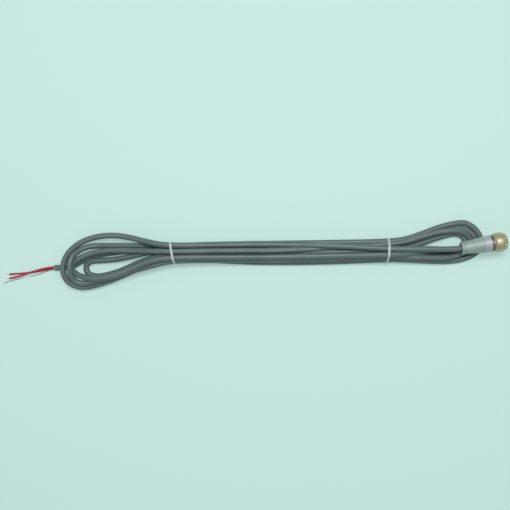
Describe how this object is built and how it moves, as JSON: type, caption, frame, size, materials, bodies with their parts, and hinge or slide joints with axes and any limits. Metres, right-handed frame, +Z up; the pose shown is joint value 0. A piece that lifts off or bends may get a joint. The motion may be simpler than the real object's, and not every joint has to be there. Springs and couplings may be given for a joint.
{
  "type": "flame sensor probe",
  "caption": "Turned cylindrical light-sensing head with a female union nut on its sighting end, on a long round lead folded into a tied hank with a stripped free end.",
  "frame": {"origin": "centre of the union nut's open mouth, on the head's axis", "axes": "+X out of the nut's mouth along the head's axis, +Z up from the surface that the lead lies on, +Y to the left of the head seen from behind it"},
  "size_m": [0.5185, 0.0906, 0.0259],
  "materials": {
    "nut_brass": "turned, dull",
    "ring_steel": "turned",
    "spigot_steel": "turned",
    "seal_rubber": "matte",
    "window_glass": "polished",
    "sleeve_nickel": "satin",
    "shell_grey": "satin anodised",
    "can_steel": "drawn",
    "cell_ceramic": "fine matte",
    "holder_plastic": "turned plastic",
    "board_laminate": "glass laminate",
    "tinned_wire": "tinned copper",
    "liner_card": "film",
    "cable_jacket": "satin moulded",
    "core_red": "smooth",
    "tie_nylon": "moulded nylon"
  },
  "bodies": {
    "head": {"board_capacitor": "cell_ceramic", "board_resistors": "cell_ceramic", "body_o_ring": "seal_rubber", "cable_ferrule": "can_steel", "cable_grommet": "seal_rubber", "cable_hank": "cable_jacket", "cable_lead": "cable_jacket", "cable_tail": "cable_jacket", "cell_holder": "holder_plastic", "circuit_board": "board_laminate", "core_a": "core_red", "core_b": "core_red", "core_tips": "tinned_wire", "disc_springs": "ring_steel", "drain_wire": "tinned_wire", "front_sleeve": "sleeve_nickel", "grub_screw": "ring_steel", "inner_cores": "core_red", "insulating_liner": "liner_card", "rear_shell": "shell_grey", "sensor_can": "can_steel", "sensor_cell": "cell_ceramic", "sensor_pins": "tinned_wire", "sensor_window": "window_glass", "solder_joints": "tinned_wire", "spigot": "spigot_steel", "tie_left": "tie_nylon", "tie_right": "tie_nylon", "union_gasket": "seal_rubber", "window": "window_glass", "window_retainer": "spigot_steel", "window_seal": "seal_rubber"},
    "sliding_ring": {"slip_ring": "ring_steel"},
    "union_nut": {"coupling_nut": "nut_brass"}
  },
  "joints": [
    {"name": "nut_slide", "type": "slide", "parent": "head", "child": "sliding_ring", "axis": [1, 0, 0], "range_m": [-0.0008, 0.0005]},
    {"name": "nut_spin", "type": "hinge", "parent": "sliding_ring", "child": "union_nut", "pos_m": [0, 0, 0], "axis": [1, 0, 0], "continuous": true}
  ]
}
